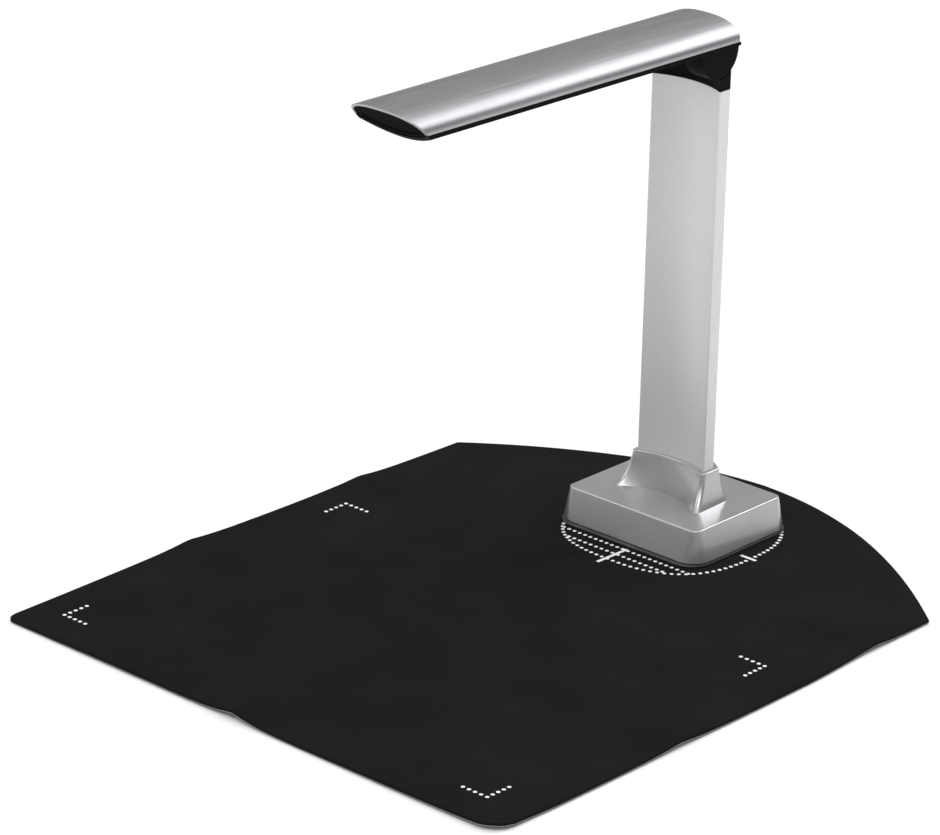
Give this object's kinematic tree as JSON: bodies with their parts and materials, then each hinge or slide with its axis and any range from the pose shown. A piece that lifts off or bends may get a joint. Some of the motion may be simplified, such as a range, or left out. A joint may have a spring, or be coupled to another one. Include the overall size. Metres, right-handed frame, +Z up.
{
  "type": "book scanner",
  "caption": "Folding document camera: weighted base, flat column, hinged lens-shaped arm with downward camera and lamps, on a soft positioning mat.",
  "frame": {"origin": "on the underside of the positioning mat, directly below the centre of the stand's base", "axes": "+Z up from the desk, +Y away from the user, +X to the user's right; the open arm points along -Y"},
  "size_m": [0.341, 0.418, 0.2949],
  "materials": {
    "mat_cloth": "matte soft cloth",
    "silver_paint": "glossy metallic silver paint on moulded plastic",
    "satin_aluminium": "fine matt metallic",
    "brushed_aluminium": "satin, brushed along the arm",
    "black_plastic": "satin moulded",
    "grey_plastic": "satin moulded",
    "gloss_black": "glossy",
    "foot_rubber": "matte",
    "steel": "machined",
    "zinc_steel": "zinc plated",
    "circuit_board": "solder mask",
    "cable_sheath": "smooth sheath",
    "lens_glass": "coated",
    "lamp_diffuser": "frosted"
  },
  "bodies": {
    "mat": {"positioning_mat": "mat_cloth"},
    "stand": {"base_shell": "silver_paint", "base_bottom_plate": "grey_plastic", "base_foot_front_left": "foot_rubber", "base_foot_rear_left": "foot_rubber", "base_foot_front_right": "foot_rubber", "base_foot_rear_right": "foot_rubber", "base_screw_front_left": "zinc_steel", "base_screw_rear_left": "zinc_steel", "base_screw_front_right": "zinc_steel", "base_screw_rear_right": "zinc_steel", "base_weight": "steel", "column_foot": "zinc_steel", "column_foot_screw_left": "zinc_steel", "column_foot_screw_right": "zinc_steel", "column": "satin_aluminium", "column_cable": "cable_sheath", "main_board": "circuit_board", "usb_socket": "steel", "lamp_switch": "black_plastic", "hinge_cap": "black_plastic", "hinge_cap_screw_left": "zinc_steel", "hinge_cap_screw_right": "zinc_steel", "hinge_shaft": "steel", "friction_washer_left": "steel", "friction_washer_right": "steel", "hinge_spring_washer": "steel", "hinge_nut": "zinc_steel"},
    "lamp_button": {"lamp_button": "black_plastic"},
    "arm": {"arm_top_shell": "brushed_aluminium", "arm_bottom_shell": "black_plastic", "arm_screw_front_left": "zinc_steel", "arm_screw_rear_left": "zinc_steel", "arm_screw_front_right": "zinc_steel", "arm_screw_rear_right": "zinc_steel", "arm_tip_cap": "black_plastic", "arm_rear_cap": "black_plastic", "camera_bezel": "gloss_black", "led_diffuser_left": "lamp_diffuser", "led_diffuser_right": "lamp_diffuser", "led_board_left": "circuit_board", "led_board_right": "circuit_board", "camera_board": "circuit_board", "lens_holder": "black_plastic", "lens_barrel": "black_plastic", "lens_glass": "lens_glass", "arm_cable": "cable_sheath"}
  },
  "joints": [
    {"name": "stand_lift", "type": "slide", "parent": "mat", "child": "stand", "axis": [0, 0, 1], "range_m": [0, 0.1]},
    {"name": "arm_fold", "type": "hinge", "parent": "stand", "child": "arm", "pos_m": [0, -0.0056, 0.278], "axis": [1, 0, 0], "range_deg": [0, 90.7]},
    {"name": "lamp_button_press", "type": "slide", "parent": "stand", "child": "lamp_button", "axis": [0, -1, 0], "range_m": [0, 0.001], "stiffness_N_per_m": 300, "springref_m": -0.0005}
  ]
}
